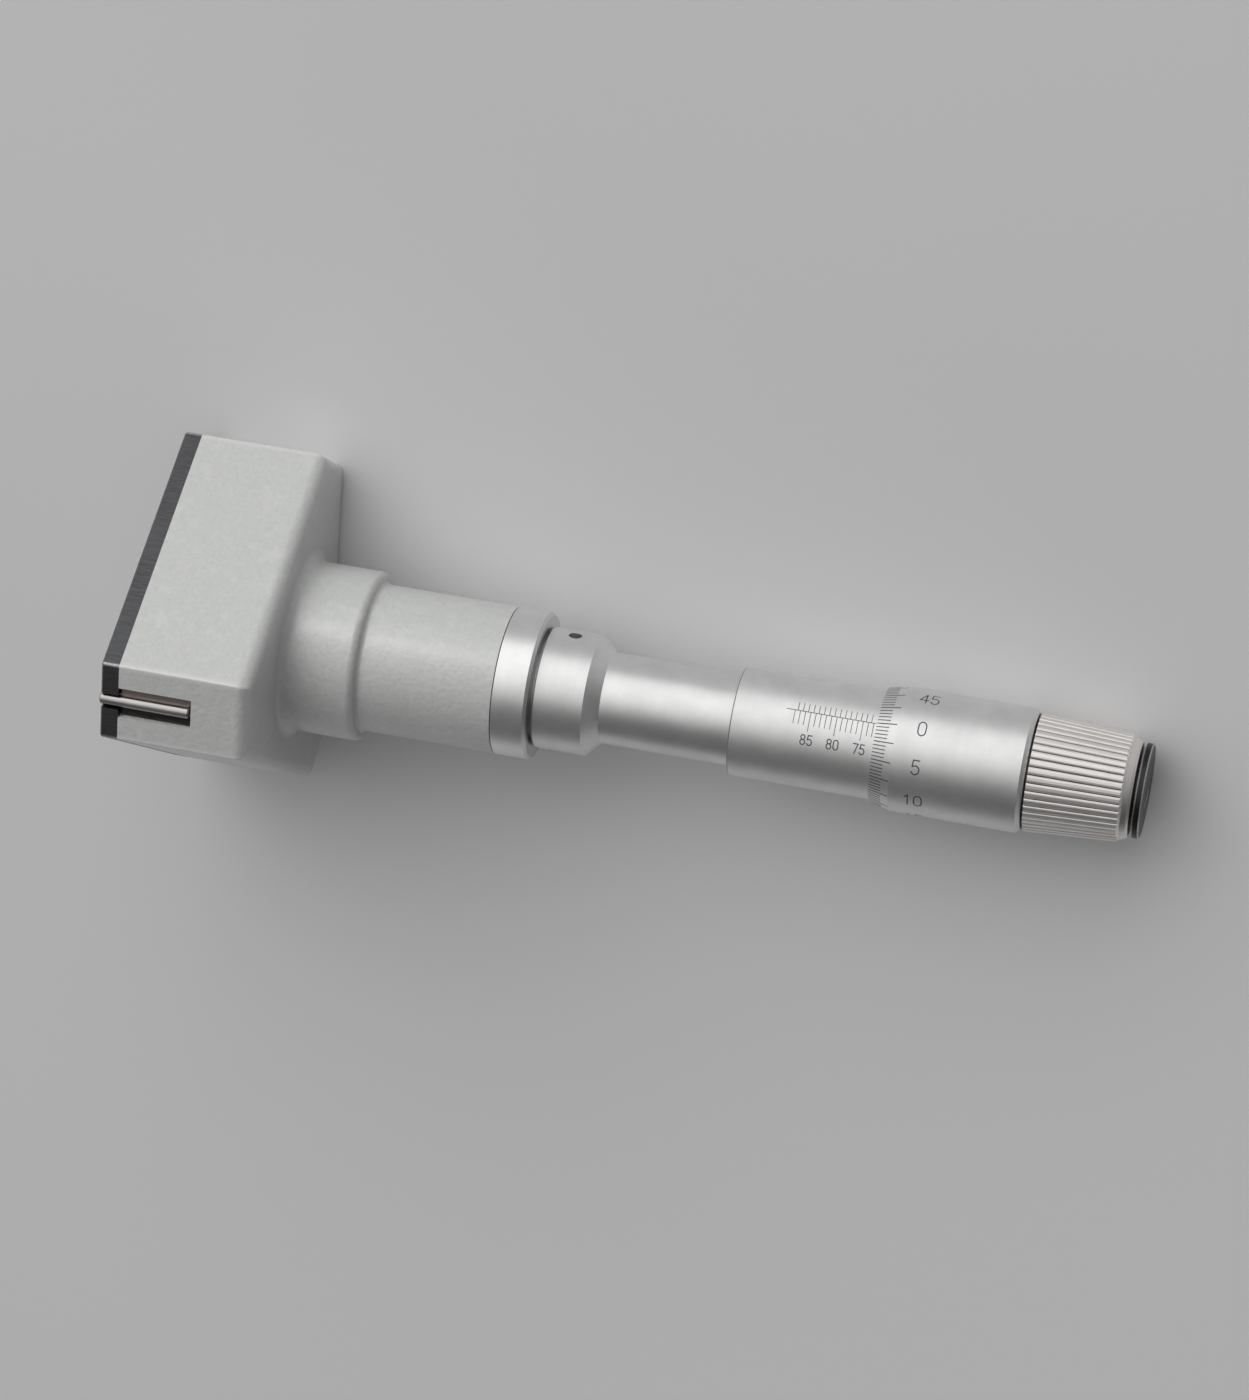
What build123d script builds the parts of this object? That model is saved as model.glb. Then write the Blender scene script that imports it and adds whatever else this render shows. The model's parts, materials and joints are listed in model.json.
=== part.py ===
"""Three-point internal micrometer, 75 to 88 mm, parked with its contacts drawn in.

Tool coordinates: x runs along the tool's axis from the front of the head (0) to the
knob, y across, z away from the flat that the head lies on. The tool lies on a floor:
the rounded rear edge of one of the head's flats and the end of the knob touch it, so
the axis slopes down by a few degrees towards the knob. The origin is on the floor
under the middle of the tool.
"""
import math
import os

from build123d import *

os.makedirs("parts", exist_ok=True)

# ------------------------------------------------------------------ driving dimensions, mm
# head outline: three long flats and three short end faces
FLAT_DIST = 24.68  # axis to each flat
END_DIST = 36.10  # axis to each end face
END_HALF = (FLAT_DIST - END_DIST * 0.5) / math.cos(math.radians(30))  # half width
LONG_EDGE_R = 0.5  # rounding of the edges along the axis
COVER_T = 3.4  # front cover plate
COVER_EDGE = 0.3
BLOCK_END = 28.5  # rear face of the block
REAR_EDGE_R = 2.5  # rounding of the block's rear edges
END_ANGLES = (90.0, 210.0, 330.0)  # end faces with the contacts
FLAT_ANGLES = (30.0, 150.0, 270.0)

# boss and neck, one casting with the block
BOSS_R, BOSS_END = 16.43, 42.9
BOSS_EDGE_R = 1.4
BOSS_FOOT_R = 0.8  # where the shoulder runs out on the neck
BOSS_ROOT_R = 2.2
NECK_R, NECK_END = 14.2, 69.3
CONE_BORE_R, CONE_BORE_END = 12.0, 40.3
BUSH_BORE_R, BUSH_BORE_END = 7.0, 61.3
SOCKET_R = 10.5

# contact slides
SLOT_W, SLOT_END = 6.1, 17.55
SLIDE_W = 6.0
SLIDE_FRONT, SLIDE_BACK = 3.7, 17.3
SLIDE_TOP, SLIDE_LOW = 34.9, 8.0
NOSE_FRONT, NOSE_LOW, NOSE_W = 0.15, 31.6, 2.9
NOTCH_LOW, NOTCH_W = 31.3, 3.0  # floor and width of the notches in the cover
FOOT_W, FOOT_BACK = 4.4, 23.9
FOOT_TIP, FOOT_TOP = 1.9, 20.0
FOOT_ROOM_END, FOOT_ROOM_TOP = 24.3, 32.0
CONE_GAP = 0.08  # oil gap between a foot and the cone
ROD_R = 1.2
CONTACT_R = 36.25  # outermost line of the rods, parked: reading 72.5
ROD_FRONT, ROD_BACK = -0.3, 17.0

# return springs
SPRING_X, SPRING_MEAN_R, SPRING_WIRE, SPRING_TURNS = 20.9, 2.15, 0.5, 7
SPRING_LOW, SPRING_HIGH = 20.05, 31.95

# cone and stem: the slope moves each contact half as far as the cone
CONE_TIP_X, CONE_TIP_R, CONE_BASE_X = 19.5, 1.5, 39.5
CONE_BASE_R = CONE_TIP_R + 0.5 * (CONE_BASE_X - CONE_TIP_X)
STEM_R, STEM_END = 4.0, 70.0
BUSH_IN_R, BUSH_FRONT, BUSH_BACK = 4.05, 44.0, 60.0

# cover screws
SCREW_AT, SCREW_R, SCREW_HEAD_R, SCREW_LEN = 18.2, 1.5, 2.9, 12.0

# coupling ring
RING_R, RING_END, RING_FRONT, RING_EDGE = 14.24, 76.2, 61.5, 0.55
RING_BORE_R, RING_BORE_X = 9.05, 65.0

# barrel
SPIGOT_R, SPIGOT_FRONT = 9.0, 67.2
COLLAR_R, COLLAR_FRONT, COLLAR_END, GROOVE_R = 11.63, 76.75, 86.4, 9.7
TUBE_R, TUBE_FRONT = 8.76, 89.1
SLEEVE_FRONT = 114.4
SEAT_R, SEAT_END = 8.5, 141.0
NUT_THREAD_R, BARREL_END = 8.0, 149.5
GUIDE_R, RELIEF_R = 4.03, 4.6
SPANNER_HOLE_X, SPANNER_HOLE_ANGLE, SPANNER_HOLE_R = 81.65, -2.0, 1.25

# graduated sleeve and adjusting nut
SLEEVE_R, SLEEVE_IN_R, SLEEVE_RECESS_R, SLEEVE_RECESS_X = 10.45, 8.53, 9.5, 141.5
NUT_R, NUT_IN_R, NUT_FRONT, NUT_BACK = 9.3, 8.03, 142.5, 148.5

# spindle and thrust ball
BALL_R, BALL_X = 2.5, 72.52
SPINDLE_R, SPINDLE_FRONT = 4.0, 72.9
TAPER_FRONT, TAPER_BACK, TAPER_R = 165.8, 170.0, 6.0
TAPER_SLOPE = 0.5 / 4.7

# thimble
BEVEL_FRONT, BEVEL_BACK, BEVEL_R = 141.6, 145.6, 10.9
THIMBLE_R, THIMBLE_IN_R, THIMBLE_END = 11.88, 10.75, 170.5
THIMBLE_CHAMFER = 0.85

# ratchet
STUD_R, STUD_FRONT = 2.47, 160.0
FLANGE_R, FLANGE_BACK = 7.0, 172.8
TEETH, TOOTH_H = 12, 0.5
JOURNAL_R, JOURNAL_END = 3.0, 186.6
CLUTCH_R, CLUTCH_FRONT, CLUTCH_BACK = 7.3, 173.86, 176.2
CLUTCH_IN_R, LUG_R, LUG_W = 3.1, 8.5, 1.9
CLUTCH_WIRE, CLUTCH_MEAN_R, CLUTCH_TURNS = 0.8, 5.3, 4

# fluted knob
KNOB_FRONT, KNOB_END = 170.9, 190.4
KNOB_R, KNOB_SLOPE = 11.3, 0.0605  # radius at the front, and how fast it shrinks
FLUTES, FLUTE_DEPTH = 45, 0.42
# a rib's rounded back: degrees from its middle, depth below its crest
RIB_SHAPE = ((1.4, 0.0), (2.6, 0.06), (3.4, 0.18))
FLUTE_END = 188.4
POCKET_R, POCKET_END = 7.6, 183.0
WEB_R, WEB_END = 3.05, 186.4
HUB_ROOM_R = 6.1
KEY_R, KEY_W = 8.6, 2.0

# end cap and its screw
CAP_R, CAP_FRONT, CAP_BACK = 9.0, 190.95, 192.5
HUB_R = 5.9
END_SCREW_R, END_SCREW_HEAD_R, END_SCREW_HEAD_T = 1.23, 2.7, 1.1

# ------------------------------------------------------------------ how the tool lies


def knob_radius(x):
    return KNOB_R - KNOB_SLOPE * (x - KNOB_FRONT)


def slope_for(x, r):
    """Axis slope at which a ring of radius r at x touches the floor with the head's edge."""
    a = x - (BLOCK_END - REAR_EDGE_R)
    b = FLAT_DIST - REAR_EDGE_R - r
    return math.asin(REAR_EDGE_R / math.hypot(a, b)) + math.atan2(b, a)


SLOPE = min(
    slope_for(FLUTE_END, knob_radius(FLUTE_END) * math.cos(math.radians(RIB_SHAPE[0][0]))),
    slope_for(THIMBLE_END - THIMBLE_CHAMFER, THIMBLE_R),
)
CS, SN = math.cos(SLOPE), math.sin(SLOPE)
AX = Vector(CS, 0, -SN)  # along the tool, towards the knob
UP = Vector(SN, 0, CS)  # away from the flat it lies on
SIDE = Vector(0, 1, 0)
X_LOW = -(FLAT_DIST - COVER_EDGE) * SN
X_HIGH = CAP_BACK * CS + (CAP_R - 0.3) * SN
ORG = Vector(
    -(X_LOW + X_HIGH) / 2,
    0,
    (BLOCK_END - REAR_EDGE_R) * SN + (FLAT_DIST - REAR_EDGE_R) * CS + REAR_EDGE_R,
)


def at(x, y=0.0, z=0.0):
    """A point of the tool, in the frame of the floor."""
    return ORG + AX * x + SIDE * y + UP * z


def out(angle):
    """Direction away from the axis at an angle in degrees."""
    a = math.radians(angle)
    return SIDE * math.cos(a) + UP * math.sin(a)


def around(angle):
    a = math.radians(angle)
    return SIDE * -math.sin(a) + UP * math.cos(a)


def across(x):
    """Plane square to the axis at x: local x is y, local y is z."""
    return Plane(origin=at(x), x_dir=SIDE, z_dir=AX)


def along(angle):
    """Plane through the axis at an angle: local x is x, local y is the radius."""
    return Plane(origin=at(0), x_dir=AX, z_dir=around(angle))


# turned profiles are drawn on the plane through 270 degrees, underneath
TURN = Axis(at(0), AX)


def outline():
    """The head's outline, as points in a plane across the axis."""
    points = []
    for angle in END_ANGLES:
        a = math.radians(angle)
        for side in (-1, 1):
            points.append(
                (
                    END_DIST * math.cos(a) - side * END_HALF * math.sin(a),
                    END_DIST * math.sin(a) + side * END_HALF * math.cos(a),
                )
            )
    return points


def polar(r, angle):
    a = math.radians(angle)
    return (r * math.cos(a), r * math.sin(a))


# ------------------------------------------------------------------ head housing
with BuildPart() as head_housing:
    with BuildSketch(across(COVER_T)):
        with BuildLine():
            Polyline(*outline(), close=True)
        make_face()
    extrude(amount=BLOCK_END - COVER_T)
    rear = head_housing.faces().sort_by(TURN)[-1]
    fillet(rear.edges(), REAR_EDGE_R)
    # boss and neck in one profile, with the rounded shoulder
    with BuildSketch(along(270)):
        with BuildLine():
            Polyline(
                (BLOCK_END - 6, 0),
                (BLOCK_END - 6, BOSS_R),
                (BOSS_END - BOSS_EDGE_R, BOSS_R),
            )
            RadiusArc(
                (BOSS_END - BOSS_EDGE_R, BOSS_R),
                (BOSS_END, BOSS_R - BOSS_EDGE_R),
                BOSS_EDGE_R,
            )
            Line((BOSS_END, BOSS_R - BOSS_EDGE_R), (BOSS_END, NECK_R + BOSS_FOOT_R))
            RadiusArc(
                (BOSS_END, NECK_R + BOSS_FOOT_R),
                (BOSS_END + BOSS_FOOT_R, NECK_R),
                -BOSS_FOOT_R,
            )
            Polyline(
                (BOSS_END + BOSS_FOOT_R, NECK_R),
                (NECK_END, NECK_R),
                (NECK_END, 0),
                (BLOCK_END - 6, 0),
            )
        make_face()
    revolve(axis=TURN)
    # the boss flows into the block's rear face
    root = [
        e
        for e in head_housing.edges().filter_by(GeomType.CIRCLE)
        if abs(e.radius - BOSS_R) < 0.01
        and abs((e.arc_center - at(0)).dot(AX) - BLOCK_END) < 0.01
    ]
    fillet(root, BOSS_ROOT_R)
    # long edges of the block
    long_edges = [
        e
        for e in head_housing.edges().filter_by(GeomType.LINE)
        if abs(e.tangent_at(0.5).dot(AX)) > 0.999 and e.length > 10
    ]
    fillet(long_edges, LONG_EDGE_R)
    # slots for the slides and room for their feet
    for angle in END_ANGLES:
        with BuildSketch(along(angle)):
            with BuildLine():
                Polyline(
                    (COVER_T - 2, 0),
                    (COVER_T - 2, END_DIST + 3),
                    (SLOT_END, END_DIST + 3),
                    (SLOT_END, FOOT_ROOM_TOP),
                    (FOOT_ROOM_END, FOOT_ROOM_TOP),
                    (FOOT_ROOM_END, 0),
                    close=True,
                )
            make_face()
        extrude(amount=SLOT_W / 2, both=True, mode=Mode.SUBTRACT)
    # bores along the axis
    with BuildSketch(along(270)):
        with BuildLine():
            Polyline(
                (COVER_T - 2, 0),
                (COVER_T - 2, CONE_BORE_R),
                (CONE_BORE_END, CONE_BORE_R),
                (CONE_BORE_END, BUSH_BORE_R),
                (BUSH_BORE_END, BUSH_BORE_R),
                (BUSH_BORE_END, SOCKET_R),
                (NECK_END + 2, SOCKET_R),
                (NECK_END + 2, 0),
                close=True,
            )
        make_face()
    revolve(axis=TURN, mode=Mode.SUBTRACT)
    # tapped holes for the cover
    for angle in FLAT_ANGLES:
        with BuildSketch(across(COVER_T - 1)):
            with Locations(polar(SCREW_AT, angle)):
                Circle(SCREW_R + 0.02)
        extrude(amount=SCREW_LEN, mode=Mode.SUBTRACT)
head_housing.part.label = "head_housing"
export_step(head_housing.part, "parts/head_housing.step")

# ------------------------------------------------------------------ front cover
with BuildPart() as front_cover:
    with BuildSketch(across(0)):
        with BuildLine():
            Polyline(*outline(), close=True)
        make_face()
    extrude(amount=COVER_T)
    corner = [
        e
        for e in front_cover.edges().filter_by(GeomType.LINE)
        if abs(e.tangent_at(0.5).dot(AX)) > 0.999
    ]
    fillet(corner, LONG_EDGE_R)
    chamfer(front_cover.faces().sort_by(TURN)[0].edges(), COVER_EDGE)
    for angle in END_ANGLES:
        with BuildSketch(along(angle)):
            with BuildLine():
                Polyline(
                    (-1, NOTCH_LOW),
                    (-1, END_DIST + 3),
                    (COVER_T + 1, END_DIST + 3),
                    (COVER_T + 1, NOTCH_LOW),
                    close=True,
                )
            make_face()
        extrude(amount=NOTCH_W / 2, both=True, mode=Mode.SUBTRACT)
    for angle in FLAT_ANGLES:
        with Locations(
            Location(
                Plane(
                    origin=at(0, *polar(SCREW_AT, angle)), x_dir=SIDE, z_dir=AX * -1
                )
            )
        ):
            CounterSinkHole(
                SCREW_R + 0.1,
                SCREW_HEAD_R + 0.1,
                depth=COVER_T + 1,
                counter_sink_angle=90,
            )
front_cover.part.label = "front_cover"
export_step(front_cover.part, "parts/front_cover.step")

# ------------------------------------------------------------------ cover screws
with BuildPart() as cover_screws:
    for angle in FLAT_ANGLES:
        c = polar(SCREW_AT, angle)
        line = Axis(at(0, *c), AX)
        with BuildSketch(Plane(origin=at(0, *c), x_dir=AX, z_dir=around(90))):
            with BuildLine():
                Polyline(
                    (0.1, 0),
                    (0.1, SCREW_HEAD_R - 0.1),
                    (0.15, SCREW_HEAD_R - 0.1),
                    (0.05 + SCREW_HEAD_R - SCREW_R, SCREW_R),
                    (SCREW_LEN - 1.5, SCREW_R),
                    (SCREW_LEN - 1.0, SCREW_R - 0.5),
                    (SCREW_LEN - 1.0, 0),
                    close=True,
                )
            make_face()
        revolve(axis=line)
        with BuildSketch(
            Plane(origin=at(0, *c), x_dir=SIDE, z_dir=AX)
        ):
            RegularPolygon(1.15, 6)
        extrude(amount=1.5, mode=Mode.SUBTRACT)
cover_screws.part.label = "cover_screws"
export_step(cover_screws.part, "parts/cover_screws.step")

# ------------------------------------------------------------------ contact slides and rods
for number, angle in enumerate(END_ANGLES, 1):
    foot_line = CONE_TIP_R + CONE_GAP / math.cos(math.atan(0.5))
    with BuildPart() as contact_slide:
        with BuildSketch(along(angle)):
            with BuildLine():
                Polyline(
                    (SLIDE_FRONT, SLIDE_LOW),
                    (SLIDE_BACK, SLIDE_LOW),
                    (SLIDE_BACK, SLIDE_TOP),
                    (SLIDE_FRONT, SLIDE_TOP),
                    close=True,
                )
            make_face()
        extrude(amount=SLIDE_W / 2, both=True)
        top = [
            e
            for e in contact_slide.edges().filter_by(GeomType.LINE)
            if abs(e.tangent_at(0.5).dot(AX)) > 0.999
            and (e.center() - at(0)).dot(out(angle)) > SLIDE_TOP - 0.01
        ]
        chamfer(top, 0.15)
        # nose that carries the front of the rod through the cover's notch
        with BuildSketch(along(angle)):
            with BuildLine():
                Polyline(
                    (NOSE_FRONT, NOSE_LOW),
                    (SLIDE_FRONT + 1, NOSE_LOW),
                    (SLIDE_FRONT + 1, SLIDE_TOP),
                    (NOSE_FRONT, SLIDE_TOP),
                    close=True,
                )
            make_face()
        extrude(amount=NOSE_W / 2, both=True)
        with BuildSketch(along(angle)):
            with BuildLine():
                Polyline(
                    (SLIDE_BACK - 3, SLIDE_LOW),
                    (SLIDE_BACK, SLIDE_LOW),
                    (SLIDE_BACK, FOOT_TIP),
                    (CONE_TIP_X + 2 * (FOOT_TIP - foot_line), FOOT_TIP),
                    (FOOT_BACK, foot_line + 0.5 * (FOOT_BACK - CONE_TIP_X)),
                    (FOOT_BACK, FOOT_TOP),
                    (SLIDE_BACK - 3, FOOT_TOP),
                    close=True,
                )
            make_face()
        extrude(amount=FOOT_W / 2, both=True)
        with BuildSketch(
            Plane(
                origin=at(-2) + out(angle) * (CONTACT_R - ROD_R),
                x_dir=around(angle),
                z_dir=AX,
            )
        ):
            Circle(ROD_R + 0.01)
        extrude(amount=ROD_BACK + 2.05, mode=Mode.SUBTRACT)
    contact_slide.part.label = "contact_slide_%d" % number
    export_step(contact_slide.part, "parts/" + contact_slide.part.label + ".step")

    with BuildPart() as contact_rod:
        with BuildSketch(
            Plane(
                origin=at(ROD_FRONT) + out(angle) * (CONTACT_R - ROD_R),
                x_dir=around(angle),
                z_dir=AX,
            )
        ):
            Circle(ROD_R)
        extrude(amount=ROD_BACK - ROD_FRONT)
        chamfer(contact_rod.edges().filter_by(GeomType.CIRCLE), 0.2)
    contact_rod.part.label = "contact_rod_%d" % number
    export_step(contact_rod.part, "parts/" + contact_rod.part.label + ".step")

    # spring from the foot's back to the wall of the casting
    first = SPRING_LOW + SPRING_WIRE / 2
    last = SPRING_HIGH - SPRING_WIRE / 2
    base = at(SPRING_X) + out(angle) * first
    with BuildPart() as return_spring:
        with BuildLine() as wire:
            Helix(
                pitch=(last - first) / SPRING_TURNS,
                height=last - first,
                radius=SPRING_MEAN_R,
                center=base,
                direction=out(angle),
            )
        with BuildSketch(Plane(origin=wire.line @ 0, z_dir=wire.line % 0)):
            Circle(SPRING_WIRE / 2)
        sweep(path=wire.line)
    return_spring.part.label = "return_spring_%d" % number
    export_step(return_spring.part, "parts/" + return_spring.part.label + ".step")

# ------------------------------------------------------------------ expansion cone
with BuildPart() as expansion_cone:
    with BuildSketch(along(270)):
        with BuildLine():
            Polyline(
                (CONE_TIP_X, 0),
                (CONE_TIP_X, CONE_TIP_R),
                (CONE_BASE_X, CONE_BASE_R),
                (CONE_BASE_X + 0.4, CONE_BASE_R),
                (CONE_BASE_X + 0.4, STEM_R),
                (STEM_END - 0.4, STEM_R),
                (STEM_END, STEM_R - 0.4),
                (STEM_END, 0),
                close=True,
            )
        make_face()
    revolve(axis=TURN)
expansion_cone.part.label = "expansion_cone"
export_step(expansion_cone.part, "parts/expansion_cone.step")

with BuildPart() as guide_bush:
    with BuildSketch(across(BUSH_FRONT)):
        Circle(BUSH_BORE_R - 0.01)
        Circle(BUSH_IN_R, mode=Mode.SUBTRACT)
    extrude(amount=BUSH_BACK - BUSH_FRONT)
    chamfer(
        [
            e
            for e in guide_bush.edges().filter_by(GeomType.CIRCLE)
            if abs(e.radius - BUSH_IN_R) < 0.01
        ],
        0.3,
    )
guide_bush.part.label = "guide_bush"
export_step(guide_bush.part, "parts/guide_bush.step")

# ------------------------------------------------------------------ coupling ring
with BuildPart() as coupling_ring:
    with BuildSketch(along(270)):
        with BuildLine():
            Polyline(
                (RING_FRONT, 5.0),
                (RING_FRONT, SOCKET_R - 0.05),
                (NECK_END, SOCKET_R - 0.05),
                (NECK_END, RING_R - 0.2),
                (NECK_END + 0.2, RING_R),
                (RING_END - RING_EDGE, RING_R),
                (RING_END, RING_R - RING_EDGE),
                (RING_END, RING_BORE_R),
                (RING_BORE_X, RING_BORE_R),
                (RING_BORE_X, 5.0),
                close=True,
            )
        make_face()
    revolve(axis=TURN)
coupling_ring.part.label = "coupling_ring"
export_step(coupling_ring.part, "parts/coupling_ring.step")

# ------------------------------------------------------------------ barrel
with BuildPart() as barrel:
    with BuildSketch(along(270)):
        with BuildLine():
            Polyline(
                (SPIGOT_FRONT, GUIDE_R),
                (SPIGOT_FRONT, SPIGOT_R - 0.5),
                (SPIGOT_FRONT + 0.5, SPIGOT_R),
                (RING_END, SPIGOT_R),
                (RING_END, GROOVE_R),
                (COLLAR_FRONT, GROOVE_R),
                (COLLAR_FRONT, COLLAR_R - 0.2),
                (COLLAR_FRONT + 0.2, COLLAR_R),
                (COLLAR_END, COLLAR_R),
                (TUBE_FRONT, TUBE_R),
                (SLEEVE_FRONT, TUBE_R),
                (SLEEVE_FRONT, SEAT_R),
                (SEAT_END, SEAT_R),
                (SEAT_END, NUT_THREAD_R),
                (BARREL_END - 0.5, NUT_THREAD_R),
                (BARREL_END, NUT_THREAD_R - 0.5),
                (BARREL_END, GUIDE_R),
                (130.0, GUIDE_R),
                (129.4, RELIEF_R),
                (100.6, RELIEF_R),
                (100.0, GUIDE_R),
                close=True,
            )
        make_face()
    revolve(axis=TURN)
    # hole for the hook spanner
    with BuildSketch(
        Plane(
            origin=at(SPANNER_HOLE_X) + out(SPANNER_HOLE_ANGLE) * (COLLAR_R + 1),
            x_dir=AX,
            z_dir=out(SPANNER_HOLE_ANGLE) * -1,
        )
    ):
        Circle(SPANNER_HOLE_R)
    extrude(amount=4.5, mode=Mode.SUBTRACT)
    # slits that let the nut close the thread
    for angle in FLAT_ANGLES:
        with BuildSketch(along(angle)):
            with BuildLine():
                Polyline(
                    (137.0, 3.0),
                    (137.0, SEAT_R + 1),
                    (BARREL_END + 1, SEAT_R + 1),
                    (BARREL_END + 1, 3.0),
                    close=True,
                )
            make_face()
        extrude(amount=0.3, both=True, mode=Mode.SUBTRACT)
barrel.part.label = "barrel"
export_step(barrel.part, "parts/barrel.step")

# ------------------------------------------------------------------ graduated sleeve
with BuildPart() as graduated_sleeve:
    with BuildSketch(along(270)):
        with BuildLine():
            Polyline(
                (SLEEVE_FRONT, SLEEVE_IN_R),
                (SLEEVE_FRONT, SLEEVE_R - 0.2),
                (SLEEVE_FRONT + 0.2, SLEEVE_R),
                (BARREL_END - 0.2, SLEEVE_R),
                (BARREL_END, SLEEVE_R - 0.2),
                (BARREL_END, SLEEVE_RECESS_R),
                (SLEEVE_RECESS_X, SLEEVE_RECESS_R),
                (SLEEVE_RECESS_X, SLEEVE_IN_R),
                close=True,
            )
        make_face()
    revolve(axis=TURN)
graduated_sleeve.part.label = "graduated_sleeve"
export_step(graduated_sleeve.part, "parts/graduated_sleeve.step")

with BuildPart() as adjusting_nut:
    with BuildSketch(across(NUT_FRONT)):
        Circle(NUT_R)
        Circle(NUT_IN_R, mode=Mode.SUBTRACT)
    extrude(amount=NUT_BACK - NUT_FRONT)
    # two slots for the nut's key
    with BuildSketch(across(NUT_BACK)):
        Rectangle(2 * NUT_R + 2, 1.6)
    extrude(amount=-1.5, mode=Mode.SUBTRACT)
adjusting_nut.part.label = "adjusting_nut"
export_step(adjusting_nut.part, "parts/adjusting_nut.step")

# ------------------------------------------------------------------ spindle and ball
with BuildPart() as spindle:
    with BuildSketch(along(270)):
        with BuildLine():
            Polyline(
                (BALL_X + BALL_R + 0.02, 0),
                (BALL_X + BALL_R + 0.02, BALL_R + 0.02),
                (SPINDLE_FRONT, BALL_R + 0.02),
                (SPINDLE_FRONT, SPINDLE_R - 0.4),
                (SPINDLE_FRONT + 0.4, SPINDLE_R),
                (TAPER_FRONT, SPINDLE_R),
                (TAPER_FRONT, TAPER_R),
                (TAPER_BACK, TAPER_R - TAPER_SLOPE * (TAPER_BACK - TAPER_FRONT)),
                (TAPER_BACK, STUD_R + 0.03),
                (STUD_FRONT - 2, STUD_R + 0.03),
                (STUD_FRONT - 2, 0),
                close=True,
            )
        make_face()
    revolve(axis=TURN)
spindle.part.label = "spindle"
export_step(spindle.part, "parts/spindle.step")

with BuildPart(Plane(origin=at(BALL_X), z_dir=AX)) as thrust_ball:
    Sphere(BALL_R)
thrust_ball.part.label = "thrust_ball"
export_step(thrust_ball.part, "parts/thrust_ball.step")

# ------------------------------------------------------------------ thimble
with BuildPart() as thimble:
    with BuildSketch(along(270)):
        with BuildLine():
            Polyline(
                (BEVEL_FRONT, THIMBLE_IN_R),
                (BEVEL_FRONT, BEVEL_R),
                (BEVEL_BACK, THIMBLE_R),
                (THIMBLE_END - THIMBLE_CHAMFER, THIMBLE_R),
                (THIMBLE_END, THIMBLE_R - THIMBLE_CHAMFER),
                (
                    THIMBLE_END,
                    TAPER_R + 0.03 - TAPER_SLOPE * (THIMBLE_END - TAPER_FRONT),
                ),
                (TAPER_FRONT, TAPER_R + 0.03),
                (TAPER_FRONT, THIMBLE_IN_R),
                close=True,
            )
        make_face()
    revolve(axis=TURN)
thimble.part.label = "thimble"
export_step(thimble.part, "parts/thimble.step")

# ------------------------------------------------------------------ ratchet
with BuildPart() as ratchet_body:
    with BuildSketch(along(270)):
        with BuildLine():
            Polyline(
                (STUD_FRONT, 0),
                (STUD_FRONT, STUD_R - 0.4),
                (STUD_FRONT + 0.4, STUD_R),
                (THIMBLE_END, STUD_R),
                (THIMBLE_END, FLANGE_R),
                (FLANGE_BACK + TOOTH_H, FLANGE_R),
                (FLANGE_BACK + TOOTH_H, JOURNAL_R),
                (JOURNAL_END, JOURNAL_R),
                (JOURNAL_END, END_SCREW_R + 0.02),
                (174.0, END_SCREW_R + 0.02),
                (174.0, 0),
                close=True,
            )
        make_face()
    revolve(axis=TURN)
    # radial V teeth on the flange
    for n in range(TEETH):
        spot = out((n + 0.5) * 360 / TEETH)
        with BuildSketch(
            Plane(
                origin=at(0) + spot * (FLANGE_R + 1),
                x_dir=AX,
                z_dir=spot * -1,
            )
        ):
            with BuildLine():
                Polyline(
                    (FLANGE_BACK, 0),
                    (FLANGE_BACK + TOOTH_H + 0.1, 0.66),
                    (FLANGE_BACK + TOOTH_H + 0.1, -0.66),
                    close=True,
                )
            make_face()
        extrude(amount=FLANGE_R + 1 - JOURNAL_R - 0.3, mode=Mode.SUBTRACT)
ratchet_body.part.label = "ratchet_body"
export_step(ratchet_body.part, "parts/ratchet_body.step")

with BuildPart() as ratchet_ring:
    with BuildSketch(across(CLUTCH_FRONT)):
        Circle(CLUTCH_R)
        Rectangle(2 * LUG_R, LUG_W)
        Circle(CLUTCH_IN_R, mode=Mode.SUBTRACT)
    extrude(amount=CLUTCH_BACK - CLUTCH_FRONT)
    # V teeth, drawn at the top of a click, just clear of the flange's teeth
    for n in range(TEETH):
        spot = out((n + 0.5) * 360 / TEETH)
        with BuildSketch(
            Plane(
                origin=at(0) + spot * (FLANGE_R - 0.3),
                x_dir=AX,
                z_dir=spot * -1,
            )
        ):
            with BuildLine():
                Polyline(
                    (CLUTCH_FRONT - TOOTH_H, 0),
                    (CLUTCH_FRONT + 0.1, 0.62),
                    (CLUTCH_FRONT + 0.1, -0.62),
                    close=True,
                )
            make_face()
        extrude(amount=FLANGE_R - 0.3 - JOURNAL_R - 0.8)
ratchet_ring.part.label = "ratchet_ring"
export_step(ratchet_ring.part, "parts/ratchet_ring.step")

first = CLUTCH_BACK + 0.05 + CLUTCH_WIRE / 2
last = POCKET_END - 0.05 - CLUTCH_WIRE / 2
with BuildPart() as ratchet_spring:
    with BuildLine() as wire:
        Helix(
            pitch=(last - first) / CLUTCH_TURNS,
            height=last - first,
            radius=CLUTCH_MEAN_R,
            center=at(first),
            direction=AX,
        )
    with BuildSketch(Plane(origin=wire.line @ 0, z_dir=wire.line % 0)):
        Circle(CLUTCH_WIRE / 2)
    sweep(path=wire.line)
ratchet_spring.part.label = "ratchet_spring"
export_step(ratchet_spring.part, "parts/ratchet_spring.step")


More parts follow.
